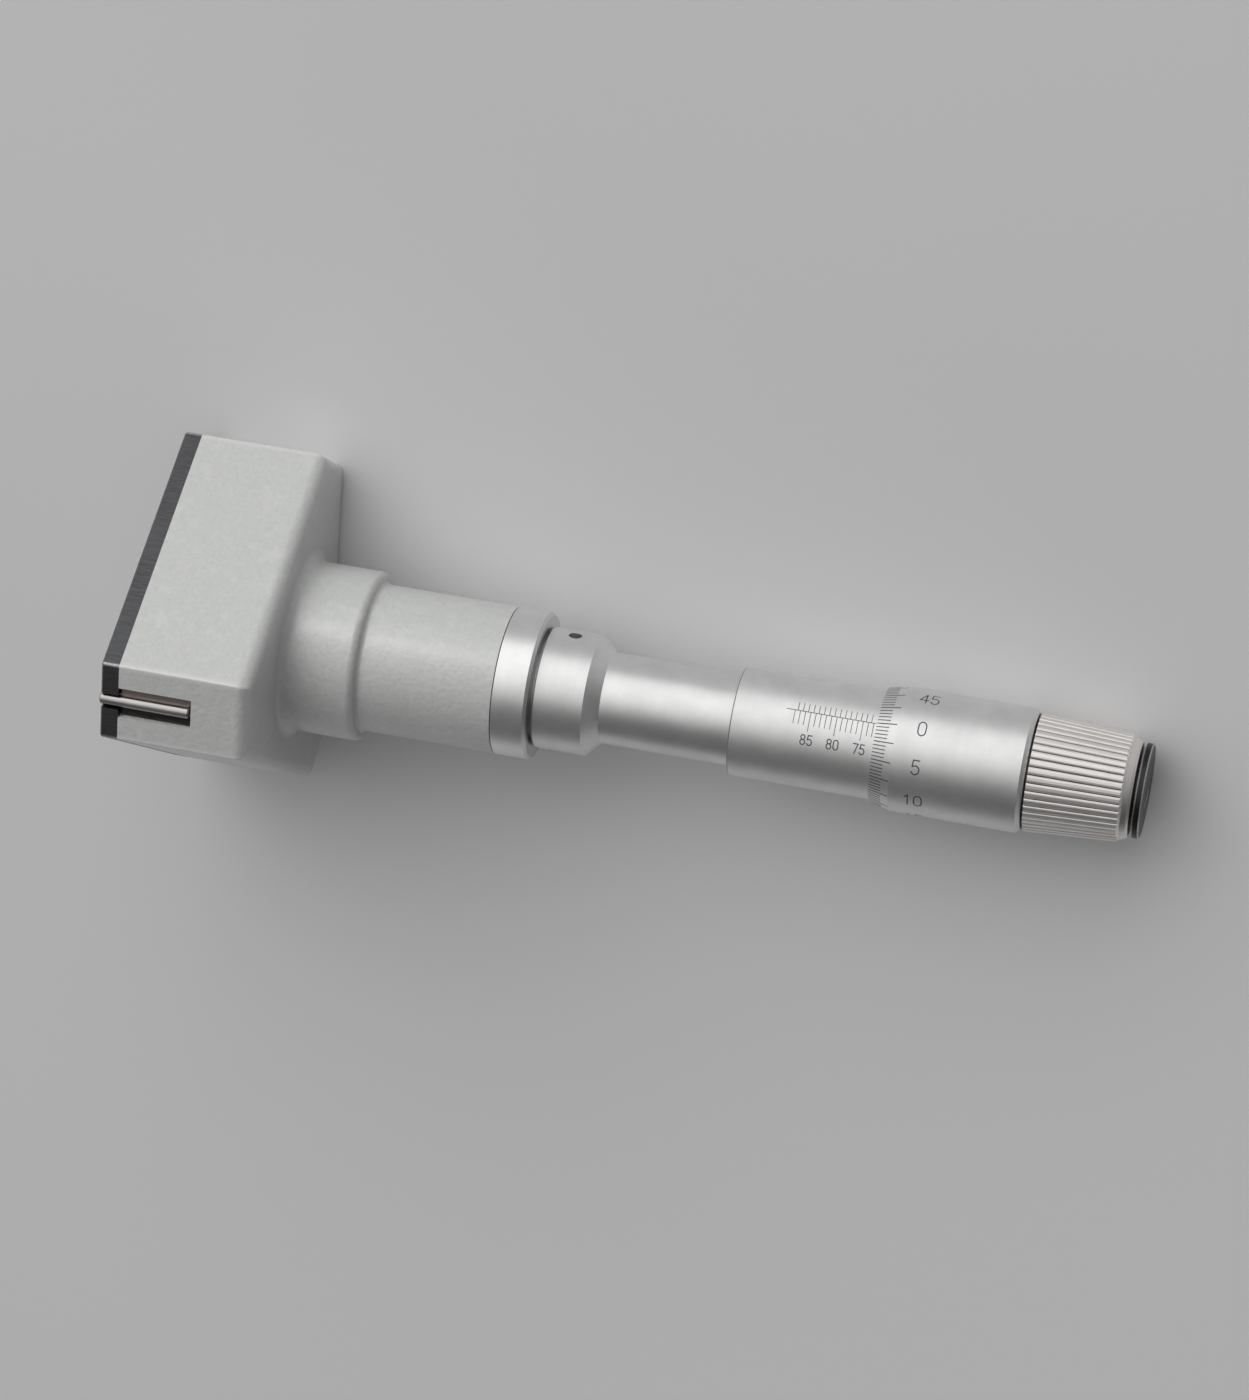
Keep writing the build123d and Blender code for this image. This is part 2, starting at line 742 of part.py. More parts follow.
# ------------------------------------------------------------------ fluted knob
def star(x):
    """Ribbed outline at x: each rib is centred so that one points at the floor."""
    r = knob_radius(x)
    step = 360 / FLUTES
    points = []
    for n in range(FLUTES):
        middle = 270 + n * step
        for a, depth in reversed(RIB_SHAPE):
            points.append(polar(r - depth, middle - a))
        for a, depth in RIB_SHAPE:
            points.append(polar(r - depth, middle + a))
        points.append(polar(r - FLUTE_DEPTH, middle + step / 2))
    return points


with BuildPart() as knob:
    for x in (KNOB_FRONT - 0.5, KNOB_END + 0.5):
        with BuildSketch(across(x)):
            with BuildLine():
                Polyline(*star(x), close=True)
            make_face()
    loft(ruled=True)
    # turned envelope: small front edge, ribs cut off, rounded rear band
    with BuildSketch(along(270)):
        with BuildLine():
            Polyline(
                (KNOB_FRONT, 0),
                (KNOB_FRONT, KNOB_R - 0.25),
                (KNOB_FRONT + 0.15, KNOB_R + 0.1),
                (FLUTE_END, knob_radius(FLUTE_END) + 0.001),
                (FLUTE_END + 0.5, knob_radius(FLUTE_END) - 0.5),
                (KNOB_END - 0.5, knob_radius(FLUTE_END) - 0.8),
                (KNOB_END, knob_radius(FLUTE_END) - 1.2),
                (KNOB_END, 0),
                close=True,
            )
        make_face()
    revolve(axis=TURN, mode=Mode.INTERSECT)
    # pocket for the ratchet, web, and room for the cap's hub
    with BuildSketch(along(270)):
        with BuildLine():
            Polyline(
                (KNOB_FRONT - 1, 0),
                (KNOB_FRONT - 1, POCKET_R),
                (POCKET_END, POCKET_R),
                (POCKET_END, WEB_R),
                (WEB_END, WEB_R),
                (WEB_END, HUB_ROOM_R),
                (KNOB_END + 1, HUB_ROOM_R),
                (KNOB_END + 1, 0),
                close=True,
            )
        make_face()
    revolve(axis=TURN, mode=Mode.SUBTRACT)
    # keyways for the clutch ring's lugs
    with BuildSketch(across(KNOB_FRONT - 1)):
        Rectangle(2 * KEY_R, KEY_W)
    extrude(amount=CLUTCH_BACK + 2 - KNOB_FRONT, mode=Mode.SUBTRACT)
knob.part.label = "knob"
export_step(knob.part, "parts/knob.step")

# ------------------------------------------------------------------ end cap and screw
with BuildPart() as end_cap:
    with BuildSketch(along(270)):
        with BuildLine():
            Polyline(
                (JOURNAL_END, END_SCREW_R + 0.1),
                (JOURNAL_END, HUB_R),
                (CAP_FRONT, HUB_R),
                (CAP_FRONT, CAP_R - 0.2),
                (CAP_FRONT + 0.2, CAP_R),
                (CAP_BACK - 0.3, CAP_R),
                (CAP_BACK, CAP_R - 0.3),
                (CAP_BACK, END_SCREW_HEAD_R + 0.15),
                (CAP_BACK - END_SCREW_HEAD_T - 0.1, END_SCREW_HEAD_R + 0.15),
                (CAP_BACK - END_SCREW_HEAD_T - 0.1, END_SCREW_R + 0.1),
                close=True,
            )
        make_face()
    revolve(axis=TURN)
end_cap.part.label = "end_cap"
export_step(end_cap.part, "parts/end_cap.step")

with BuildPart() as end_screw:
    with BuildSketch(along(270)):
        with BuildLine():
            Polyline(
                (175.5, 0),
                (175.5, END_SCREW_R),
                (CAP_BACK - END_SCREW_HEAD_T - 0.1, END_SCREW_R),
                (CAP_BACK - END_SCREW_HEAD_T - 0.1, END_SCREW_HEAD_R),
                (CAP_BACK - 0.35, END_SCREW_HEAD_R),
                (CAP_BACK - 0.1, END_SCREW_HEAD_R - 0.25),
                (CAP_BACK - 0.1, 0),
                close=True,
            )
        make_face()
    revolve(axis=TURN)
    # driver slot
    with BuildSketch(across(CAP_BACK + 0.5)):
        Rectangle(2 * END_SCREW_HEAD_R + 1, 0.7)
    extrude(amount=-1.25, mode=Mode.SUBTRACT)
end_screw.part.label = "end_screw"
export_step(end_screw.part, "parts/end_screw.step")

print("slope of the axis, degrees: %.4f" % math.degrees(SLOPE))
print("tool origin: %.4f %.4f %.4f" % (ORG.X, ORG.Y, ORG.Z))
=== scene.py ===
"""Looks for the three-point micrometer: finishes, engraved scales, floor, light and camera."""
import json
import math

import bmesh
import bpy
from mathutils import Matrix, Vector


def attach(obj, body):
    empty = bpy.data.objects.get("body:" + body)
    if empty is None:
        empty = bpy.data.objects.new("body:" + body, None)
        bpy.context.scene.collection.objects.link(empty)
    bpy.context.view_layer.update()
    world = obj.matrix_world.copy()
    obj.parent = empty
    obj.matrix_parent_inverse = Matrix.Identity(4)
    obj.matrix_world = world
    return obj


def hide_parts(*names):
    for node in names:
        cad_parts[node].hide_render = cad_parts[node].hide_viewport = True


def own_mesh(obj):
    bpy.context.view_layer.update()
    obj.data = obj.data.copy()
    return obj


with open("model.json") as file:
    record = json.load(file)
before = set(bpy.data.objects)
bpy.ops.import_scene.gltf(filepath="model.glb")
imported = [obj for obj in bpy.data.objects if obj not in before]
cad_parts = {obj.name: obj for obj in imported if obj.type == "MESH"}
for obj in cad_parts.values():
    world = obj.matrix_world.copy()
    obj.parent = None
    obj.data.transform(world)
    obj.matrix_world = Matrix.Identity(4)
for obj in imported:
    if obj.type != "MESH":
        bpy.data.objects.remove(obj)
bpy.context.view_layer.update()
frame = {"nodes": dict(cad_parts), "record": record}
nodes = frame["nodes"]

# ------------------------------------------------------------------ the tool's own axes
# x along the tool from the front of the head, angle about the axis from +Y upwards
SLOPE = math.radians(5.085254203)
CS, SN = math.cos(SLOPE), math.sin(SLOPE)
AX = Vector((CS, 0, -SN))
UP = Vector((SN, 0, CS))
SIDE = Vector((0, 1, 0))
ORG = Vector((-95.176230, 0, 26.897284))


def at(x, angle=0.0, r=0.0):
    """A point of the tool, in metres: x and r in millimetres, angle in degrees."""
    a = math.radians(angle)
    return (ORG + AX * x + SIDE * (r * math.cos(a)) + UP * (r * math.sin(a))) / 1000


def tool_dir(x, y, z):
    return (AX * x + SIDE * y + UP * z).normalized()


# ------------------------------------------------------------------ materials
def material(name):
    m = bpy.data.materials.new(name)
    m.use_nodes = True
    t = m.node_tree
    for n in list(t.nodes):
        t.nodes.remove(n)
    out = t.nodes.new("ShaderNodeOutputMaterial")
    bsdf = t.nodes.new("ShaderNodeBsdfPrincipled")
    t.links.new(bsdf.outputs[0], out.inputs[0])
    return m, t, bsdf


def node(t, kind, **values):
    n = t.nodes.new(kind)
    for k, v in values.items():
        if hasattr(n, k) and k not in n.inputs:
            setattr(n, k, v)
        else:
            n.inputs[k].default_value = v
    return n


def link(t, a, b):
    t.links.new(a, b)


def tool_coordinates(t):
    """Object coordinates turned to the tool: x along its axis, in millimetres."""
    tc = t.nodes.new("ShaderNodeTexCoord")
    shift = node(t, "ShaderNodeVectorMath", operation="SUBTRACT")
    link(t, tc.outputs["Object"], shift.inputs[0])
    shift.inputs[1].default_value = ORG / 1000
    turn = node(t, "ShaderNodeMapping", vector_type="POINT")
    turn.inputs["Rotation"].default_value = (0, -SLOPE, 0)
    turn.inputs["Scale"].default_value = (1000, 1000, 1000)
    # mapping scales first and turns after, so an even scale is safe here
    link(t, shift.outputs[0], turn.inputs["Vector"])
    return turn.outputs[0]


def ramp(t, fac, stops, mode="LINEAR"):
    r = t.nodes.new("ShaderNodeValToRGB")
    r.color_ramp.interpolation = mode
    e = r.color_ramp.elements
    while len(e) < len(stops):
        e.new(0.5)
    for k, (p, c) in enumerate(stops):
        e[k].position = p
        e[k].color = c if len(c) == 4 else (*c, 1)
    link(t, fac, r.inputs[0])
    return r.outputs[0]


def grey(v):
    return (v, v, v, 1)


def noise(t, vec, scale, detail=2.0, rough=0.5, stretch=None):
    if stretch:
        m = node(t, "ShaderNodeMapping")
        m.inputs["Scale"].default_value = stretch
        link(t, vec, m.inputs["Vector"])
        vec = m.outputs[0]
    n = node(t, "ShaderNodeTexNoise", Scale=scale, Detail=detail, Roughness=rough)
    link(t, vec, n.inputs["Vector"])
    return n.outputs["Fac"]


def mix_color(t, fac, a, b, kind="MIX"):
    m = node(t, "ShaderNodeMix", data_type="RGBA", blend_type=kind)
    if isinstance(fac, (int, float)):
        m.inputs[0].default_value = fac
    else:
        link(t, fac, m.inputs[0])
    for k, v in ((6, a), (7, b)):
        if isinstance(v, (tuple, list)):
            m.inputs[k].default_value = v if len(v) == 4 else (*v, 1)
        else:
            link(t, v, m.inputs[k])
    return m.outputs[2]


def math_node(t, op, a, b=None, clamp=False):
    m = node(t, "ShaderNodeMath", operation=op)
    m.use_clamp = clamp
    for k, v in ((0, a), (1, b)):
        if v is None:
            continue
        if isinstance(v, (int, float)):
            m.inputs[k].default_value = v
        else:
            link(t, v, m.inputs[k])
    return m.outputs[0]


def bump(t, height, strength, distance, normal=None):
    b = node(t, "ShaderNodeBump", Strength=strength, Distance=distance)
    link(t, height, b.inputs["Height"])
    if normal is not None:
        link(t, normal, b.inputs["Normal"])
    return b.outputs[0]


def map_range(t, v, a, b, c, d):
    m = node(t, "ShaderNodeMapRange")
    link(t, v, m.inputs["Value"])
    for k, x in zip(("From Min", "From Max", "To Min", "To Max"), (a, b, c, d)):
        m.inputs[k].default_value = x
    return m.outputs[0]


def split(t, v):
    """x along the tool, y, z and the distance from the axis, in millimetres."""
    s = t.nodes.new("ShaderNodeSeparateXYZ")
    link(t, v, s.inputs[0])
    x, y, z = s.outputs[0], s.outputs[1], s.outputs[2]
    r = math_node(t, "SQRT", math_node(t, "ADD", math_node(t, "MULTIPLY", y, y), math_node(t, "MULTIPLY", z, z)))
    return x, y, z, r


# the head's six long edges, as points across the axis
FLAT, END = 24.68, 36.10
HALF = (FLAT - END * 0.5) / math.cos(math.radians(30))
CORNERS = [
    (END * math.cos(a) - q * HALF * math.sin(a), END * math.sin(a) + q * HALF * math.cos(a))
    for a in (math.radians(90), math.radians(210), math.radians(330))
    for q in (-1, 1)
]


def corner_distance(t, v):
    """Distance to the nearest of the head's long edges, in millimetres."""
    x, y, z, r = split(t, v)
    best = None
    for cy, cz in CORNERS:
        dy = math_node(t, "SUBTRACT", y, cy)
        dz = math_node(t, "SUBTRACT", z, cz)
        d = math_node(t, "SQRT", math_node(t, "ADD", math_node(t, "MULTIPLY", dy, dy), math_node(t, "MULTIPLY", dz, dz)))
        best = d if best is None else math_node(t, "MINIMUM", best, d)
    return x, best


def hammered_paint():
    """Light grey-green paint over a casting: soft dimples, faint flecks, lighter along the long edges, partly thin
    paint and partly a painted highlight.
    """
    m, t, s = material("cast_paint")
    v = tool_coordinates(t)
    cells = node(t, "ShaderNodeTexVoronoi", Scale=1.05, Randomness=1.0)
    cells.feature = "SMOOTH_F1"
    cells.inputs["Smoothness"].default_value = 0.85
    warp = node(t, "ShaderNodeTexNoise", Scale=0.5, Detail=2.0)
    link(t, v, warp.inputs["Vector"])
    moved = node(t, "ShaderNodeVectorMath", operation="MULTIPLY_ADD")
    link(t, warp.outputs["Color"], moved.inputs[0])
    moved.inputs[1].default_value = (1.4, 1.4, 1.4)
    link(t, v, moved.inputs[2])
    link(t, moved.outputs[0], cells.inputs["Vector"])
    dimple = cells.outputs["Distance"]
    fine = noise(t, v, 2.6, 3.0, 0.55)
    broad = noise(t, v, 0.12, 3.0, 0.5)
    veins = noise(t, v, 0.9, 3.0, 0.55)
    tone = ramp(t, veins, [(0.32, (0.534, 0.545, 0.533)), (0.68, (0.575, 0.585, 0.573))])
    tone = mix_color(t, map_range(t, broad, 0.3, 0.7, 0.0, 0.4), tone, (0.542, 0.553, 0.540))
    blotch = noise(t, v, 0.33, 2.0, 0.5)
    tone = mix_color(t, map_range(t, blotch, 0.56, 0.70, 0.0, 0.30), tone, (0.678, 0.683, 0.672))
    tone = mix_color(t, map_range(t, fine, 0.54, 0.70, 0.0, 0.35), tone, (0.697, 0.700, 0.689))
    tone = mix_color(t, map_range(t, dimple, 0.05, 0.42, 0.24, 0.0), tone, (0.419, 0.429, 0.418))
    x, edge = corner_distance(t, v)
    # painted highlight along the long edges, partly standing for thinner, rubbed paint
    thin = math_node(t, "MULTIPLY", map_range(t, edge, 0.35, 1.15, 1.0, 0.0), map_range(t, fine, 0.3, 0.7, 0.45, 0.85))
    tone = mix_color(t, thin, tone, (0.682, 0.684, 0.673))
    link(t, tone, s.inputs["Base Color"])
    link(t, map_range(t, fine, 0.3, 0.7, 0.38, 0.52), s.inputs["Roughness"])
    s.inputs["Specular IOR Level"].default_value = 0.5
    s.inputs["Coat Weight"].default_value = 0.85
    s.inputs["Coat Roughness"].default_value = 0.3
    n1 = bump(t, dimple, 0.60, 0.00012)
    n2 = bump(t, fine, 0.40, 0.00003, n1)
    link(t, n2, s.inputs["Normal"])
    return m


def turned_metal(name, color, rough, spread=0.04, lines=0.18, mottling=0.05, relief=1.0, dress=None):
    """Turned and plated metal: fine rings around the axis and faint clouding. dress adds local marks."""
    m, t, s = material(name)
    v = tool_coordinates(t)
    # along the axis on a cylinder, outwards on an end face, so the lines always run round the axis
    x, y, z, r = split(t, v)
    round_axis = t.nodes.new("ShaderNodeCombineXYZ")
    for k, q in enumerate((x, r, y)):
        link(t, q, round_axis.inputs[k])
    rings = noise(t, round_axis.outputs[0], 1.0, 3.0, 0.65, stretch=(9.0, 7.0, 0.05))
    coarse = noise(t, round_axis.outputs[0], 1.0, 2.0, 0.5, stretch=(1.4, 1.2, 0.02))
    cloud = noise(t, v, 0.22, 4.0, 0.55)
    speck = noise(t, v, 6.0, 2.0, 0.6)
    c = mix_color(
        t,
        map_range(t, cloud, 0.3, 0.7, 0.0, 1.0),
        tuple(k * (1 - mottling) for k in color),
        tuple(min(1, k * (1 + mottling)) for k in color),
    )
    c = mix_color(t, map_range(t, rings, 0.35, 0.75, 0.0, lines), c, tuple(k * 0.78 for k in color))
    if dress:
        c = dress(t, v, c, speck)
    link(t, c, s.inputs["Base Color"])
    s.inputs["Metallic"].default_value = 1.0
    r = math_node(t, "ADD", map_range(t, rings, 0.3, 0.7, rough - spread, rough + spread),
                  map_range(t, speck, 0.3, 0.7, -spread / 2, spread / 2))
    link(t, r, s.inputs["Roughness"])
    n1 = bump(t, rings, 0.10 * relief, 0.000010)
    n2 = bump(t, coarse, 0.08 * relief, 0.000016, n1)
    link(t, n2, s.inputs["Normal"])
    return m


def ground_steel(name, color, rough, direction, tint=0.0):
    """Ground flat steel: straight fine grinding lines along one direction of the tool."""
    m, t, s = material(name)
    v = tool_coordinates(t)
    lines = noise(t, v, 1.0, 4.0, 0.7, stretch=direction)
    cloud = noise(t, v, 0.5, 3.0, 0.5)
    c = mix_color(t, map_range(t, lines, 0.3, 0.75, 0.0, 0.45), color, tuple(k * 0.6 for k in color))
    c = mix_color(t, map_range(t, cloud, 0.4, 0.7, 0.0, 0.2), c, tuple(k * 1.2 for k in color))
    link(t, c, s.inputs["Base Color"])
    s.inputs["Metallic"].default_value = 1.0
    link(t, map_range(t, lines, 0.3, 0.7, rough - 0.05, rough + 0.07), s.inputs["Roughness"])
    link(t, bump(t, lines, 0.2, 0.00001), s.inputs["Normal"])
    return m


def flute_dirt(t, v, c, speck):
    """Painted shade at the bottom of the knob's flutes, on the fluted part only."""
    x, y, z, r = split(t, v)
    crest = math_node(t, "SUBTRACT", 11.3 + 0.0605 * 170.9, math_node(t, "MULTIPLY", x, 0.0605))
    depth = math_node(t, "SUBTRACT", crest, r)
    # painted shade: darker where the surface lies deep below the flute crests
    low = map_range(t, math_node(t, "ADD", depth, map_range(t, speck, 0.3, 0.7, -0.015, 0.015)), 0.20, 0.34, 0.0, 0.80)
    fluted = math_node(t, "LESS_THAN", x, 188.4)
    return mix_color(t, math_node(t, "MULTIPLY", low, fluted), c, (0.16, 0.15, 0.145))


def dark_joint(edge, shaded_chamfer_from=None):
    """Painted shade in the joint just behind x = edge, on a part's small front chamfer, and painted shade that
    slightly darkens the rear chamfer.
    """
    def dress(t, v, c, speck):
        x, y, z, r = split(t, v)
        line = map_range(t, math_node(t, "ADD", x, map_range(t, speck, 0.3, 0.7, -0.03, 0.03)), edge + 0.16, edge + 0.24, 0.75, 0.0)
        c = mix_color(t, line, c, (0.14, 0.14, 0.14))
        if shaded_chamfer_from:
            c = mix_color(t, map_range(t, x, shaded_chamfer_from, shaded_chamfer_from + 0.06, 0.0, 0.25), c, (0.30, 0.30, 0.30))
        return c
    return dress


def rim_wear(t, v, c, speck):
    """Painted highlights: bright rims on the blackened end cap and at the edge of its bore."""
    x, y, z, r = split(t, v)
    outer = map_range(t, r, 8.70, 8.78, 0.0, 1.0)
    front = map_range(t, x, 191.1, 191.3, 1.0, 0.0)
    back = map_range(t, x, 192.15, 192.25, 0.0, 1.0)
    rim = math_node(t, "MULTIPLY", outer, math_node(t, "MAXIMUM", front, back))
    bore = map_range(t, r, 2.92, 3.02, 1.0, 0.0)
    rim_and_bore_highlight = math_node(t, "MULTIPLY", math_node(t, "MAXIMUM", rim, bore), map_range(t, speck, 0.3, 0.6, 0.6, 1.0))
    return mix_color(t, rim_and_bore_highlight, c, (0.62, 0.61, 0.60))


def screw_wear(t, v, c, speck):
    """A bright rim on the blackened end screw."""
    x, y, z, r = split(t, v)
    rim = math_node(t, "MULTIPLY", map_range(t, r, 2.45, 2.52, 0.0, 0.8), map_range(t, speck, 0.3, 0.6, 0.6, 1.0))
    return mix_color(t, rim, c, (0.55, 0.54, 0.53))


def black_plate():
    """Blackened steel plate: fine milled streaks across its edge, bright along its corners, partly rubbed steel and
    partly a painted highlight.
    """
    m, t, s = material("cover_black")
    v = tool_coordinates(t)
    across = noise(t, v, 1.0, 4.0, 0.65, stretch=(0.30, 2.6, 2.6))
    ground = noise(t, v, 1.0, 4.0, 0.65, stretch=(0.30, 0.10, 4.5))
    x0, y0, z0, r0 = split(t, v)
    streak = node(t, "ShaderNodeMix", data_type="FLOAT")
    link(t, map_range(t, x0, 0.10, 0.30, 1.0, 0.0), streak.inputs[0])
    link(t, across, streak.inputs[2])
    link(t, ground, streak.inputs[3])
    streak = streak.outputs[0]
    fine = noise(t, v, 3.0, 3.0, 0.6)
    cloud = noise(t, v, 0.15, 3.0, 0.5)
    c = ramp(t, streak, [(0.3, (0.088, 0.089, 0.094)), (0.7, (0.150, 0.151, 0.158))])
    c = mix_color(t, map_range(t, cloud, 0.35, 0.7, 0.0, 0.4), c, (0.145, 0.146, 0.152))
    x, edge = corner_distance(t, v)
    # the long corners are lightened: rubbed steel and a painted highlight
    rub_and_highlight = math_node(t, "MULTIPLY", map_range(t, edge, 0.25, 0.55, 1.0, 0.0), map_range(t, fine, 0.35, 0.65, 0.45, 1.0))
    front = math_node(t, "MULTIPLY", map_range(t, x, 0.22, 0.36, 0.30, 0.0), map_range(t, fine, 0.40, 0.65, 0.0, 1.0))
    c = mix_color(t, math_node(t, "MAXIMUM", rub_and_highlight, front), c, (0.60, 0.60, 0.61))
    link(t, c, s.inputs["Base Color"])
    s.inputs["Metallic"].default_value = 0.95
    link(t, map_range(t, fine, 0.3, 0.7, 0.30, 0.42), s.inputs["Roughness"])
    n1 = bump(t, streak, 0.25, 0.00002)
    link(t, bump(t, fine, 0.2, 0.000008, n1), s.inputs["Normal"])
    return m


def milled_steel(name, color):
    """Milled, slightly oxidised steel: dull, brownish, faint cutter lines, and a painted shadow that blackens the flat
    on one side of each rod.
    """
    m, t, s = material(name)
    v = tool_coordinates(t)
    x, y, z, r = split(t, v)
    lines = noise(t, v, 1.0, 4.0, 0.6, stretch=(0.5, 6.0, 6.0))
    stain = noise(t, v, 0.8, 4.0, 0.6)
    c = mix_color(t, map_range(t, lines, 0.3, 0.75, 0.0, 0.4), color, tuple(k * 0.65 for k in color))
    c = mix_color(t, map_range(t, stain, 0.45, 0.7, 0.0, 0.5), c, (0.34, 0.28, 0.26))
    # painted shadow of the rod: the flat on one side of each contact rod is made nearly black
    painted_rod_shadow = None
    for a in (math.radians(90), math.radians(210), math.radians(330)):
        outwards = math_node(t, "ADD", math_node(t, "MULTIPLY", y, math.cos(a)), math_node(t, "MULTIPLY", z, math.sin(a)))
        across = math_node(t, "SUBTRACT", math_node(t, "MULTIPLY", z, math.cos(a)), math_node(t, "MULTIPLY", y, math.sin(a)))
        side = math_node(t, "MULTIPLY", math_node(t, "GREATER_THAN", outwards, 30.0), map_range(t, across, 0.85, 1.05, 0.0, 1.0))
        painted_rod_shadow = side if painted_rod_shadow is None else math_node(t, "MAXIMUM", painted_rod_shadow, side)
    painted_rod_shadow = math_node(t, "MULTIPLY", painted_rod_shadow, map_range(t, lines, 0.35, 0.72, 0.97, 0.80))
    c = mix_color(t, painted_rod_shadow, c, (0.020, 0.019, 0.019))
    link(t, c, s.inputs["Base Color"])
    s.inputs["Metallic"].default_value = 0.92
    link(t, map_range(t, stain, 0.3, 0.7, 0.30, 0.42), s.inputs["Roughness"])
    link(t, bump(t, lines, 0.25, 0.000012), s.inputs["Normal"])
    return m


def scale_black():
    """Black fill of the engraved marks, slightly uneven and matt."""
    m, t, s = material("scale_fill")
    v = tool_coordinates(t)
    n = noise(t, v, 4.0, 3.0, 0.6)
    link(t, ramp(t, n, [(0.3, (0.018, 0.018, 0.019)), (0.75, (0.06, 0.06, 0.062))]), s.inputs["Base Color"])
    link(t, map_range(t, n, 0.3, 0.7, 0.5, 0.7), s.inputs["Roughness"])
    return m


def bronze():
    m, t, s = material("bronze")
    v = tool_coordinates(t)
    rings = noise(t, v, 1.0, 3.0, 0.6, stretch=(6.0, 0.05, 0.05))
    link(t, ramp(t, rings, [(0.3, (0.42, 0.25, 0.10)), (0.7, (0.60, 0.40, 0.19))]), s.inputs["Base Color"])
    s.inputs["Metallic"].default_value = 1.0
    link(t, map_range(t, rings, 0.3, 0.7, 0.28, 0.40), s.inputs["Roughness"])
    return m


MATERIALS = {
    "cast_paint": hammered_paint(),
    "cover_black": black_plate(),
    "screw_steel": turned_metal("screw_steel", (0.09, 0.09, 0.095), 0.42),
    "slide_steel": milled_steel("slide_steel", (0.40, 0.345, 0.33)),
    "carbide": ground_steel("carbide", (0.56, 0.53, 0.52), 0.20, (0.5, 7.0, 7.0)),
    # ring: painted shade at its joint with the paint and on its rear chamfer
    "ring_chrome": turned_metal("ring_chrome", (0.85, 0.85, 0.845), 0.34, lines=0.10, relief=0.5, dress=dark_joint(69.3, 75.62)),
    "barrel_chrome": turned_metal("barrel_chrome", (0.82, 0.82, 0.815), 0.38, lines=0.14),
    # sleeve: painted shade on its front chamfer, where it meets the barrel
    "sleeve_chrome": turned_metal("sleeve_chrome", (0.84, 0.84, 0.835), 0.42, lines=0.10, relief=0.7, dress=dark_joint(114.4)),
    "thimble_chrome": turned_metal("thimble_chrome", (0.83, 0.83, 0.825), 0.41, lines=0.10, relief=0.7),
    # the knob's flutes get painted shade at their bottoms
    "knob_nickel": turned_metal("knob_nickel", (0.93, 0.895, 0.875), 0.42, lines=0.04, mottling=0.03, relief=0.4, dress=flute_dirt),
    # the end cap's rims get painted highlights
    "cap_steel": turned_metal("cap_steel", (0.042, 0.042, 0.045), 0.38, dress=rim_wear),
    "cap_screw": turned_metal("cap_screw", (0.040, 0.040, 0.043), 0.38, dress=screw_wear),
    "inner_steel": turned_metal("inner_steel", (0.60, 0.60, 0.61), 0.25),
    "bronze": bronze(),
    "spring_steel": turned_metal("spring_steel", (0.42, 0.42, 0.44), 0.30),
}
FILL = scale_black()
for entry in frame["record"]["subparts"]:
    o = nodes[entry["node"]]
    o.data.materials.clear()
    o.data.materials.append(MATERIALS[entry["material_slot"]])


# ------------------------------------------------------------------ scale marks
PROUD = 0.006  # how far the black fill stands above the metal, mm
SUNK = 0.05


class Marks:
    """Closed thin solids that follow a turned surface. r_at(x) is its radius there."""

    def __init__(self, r_at):
        self.bm = bmesh.new()
        self.r_at = r_at

    def patch(self, corners, nx, na):
        """A strip between four corners (x, angle): nx by na cells, closed."""
        (x0, a0), (x1, a1), (x2, a2), (x3, a3) = corners
        top, low = [], []
        for i in range(nx + 1):
            u = i / nx
            rows = ([], [])
            for j in range(na + 1):
                w = j / na
                x = (x0 * (1 - u) + x1 * u) * (1 - w) + (x3 * (1 - u) + x2 * u) * w
                a = (a0 * (1 - u) + a1 * u) * (1 - w) + (a3 * (1 - u) + a2 * u) * w
                r = self.r_at(x)
                rows[0].append(self.bm.verts.new(at(x, a, r + PROUD)))
                rows[1].append(self.bm.verts.new(at(x, a, r - SUNK)))
            top.append(rows[0])
            low.append(rows[1])
        f = self.bm.faces.new
        for i in range(nx):
            for j in range(na):
                f((top[i][j], top[i][j + 1], top[i + 1][j + 1], top[i + 1][j]))
                f((low[i][j], low[i + 1][j], low[i + 1][j + 1], low[i][j + 1]))
        for i in range(nx):
            f((top[i][0], top[i + 1][0], low[i + 1][0], low[i][0]))
            f((top[i][na], low[i][na], low[i + 1][na], top[i + 1][na]))
        for j in range(na):
            f((top[0][j], low[0][j], low[0][j + 1], top[0][j + 1]))
            f((top[nx][j], top[nx][j + 1], low[nx][j + 1], low[nx][j]))

    def ring_tick(self, x, a0, a1, width):
        """A mark across the axis: from angle a0 to a1 at x."""
        n = max(2, int(abs(a1 - a0) / 1.0))
        self.patch(((x - width / 2, a0), (x + width / 2, a0), (x + width / 2, a1), (x - width / 2, a1)), 1, n)

    def axial_tick(self, x0, x1, a, width):
        """A mark along the axis, width in mm."""
        n = max(1, int(abs(x1 - x0) / 0.5))
        h0 = math.degrees(width / 2 / self.r_at(x0))
        h1 = math.degrees(width / 2 / self.r_at(x1))
        self.patch(((x0, a - h0), (x1, a - h1), (x1, a + h1), (x0, a + h0)), n, 2)

    def object(self, name, body):
        bmesh.ops.recalc_face_normals(self.bm, faces=self.bm.faces)
        me = bpy.data.meshes.new(name)
        self.bm.to_mesh(me)
        self.bm.free()
        for p in me.polygons:
            p.use_smooth = False
        me.materials.append(FILL)
        o = bpy.data.objects.new(name, me)
        bpy.context.scene.collection.objects.link(o)
        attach(o, body)
        return o


# digits as pen strokes on a grid 1 wide and 2 high: lists of (x, y), or arcs
def arc(cx, cy, rx, ry, a0, a1, n=14):
    return [
        (cx + rx * math.cos(math.radians(a0 + (a1 - a0) * k / n)), cy + ry * math.sin(math.radians(a0 + (a1 - a0) * k / n)))
        for k in range(n + 1)
    ]


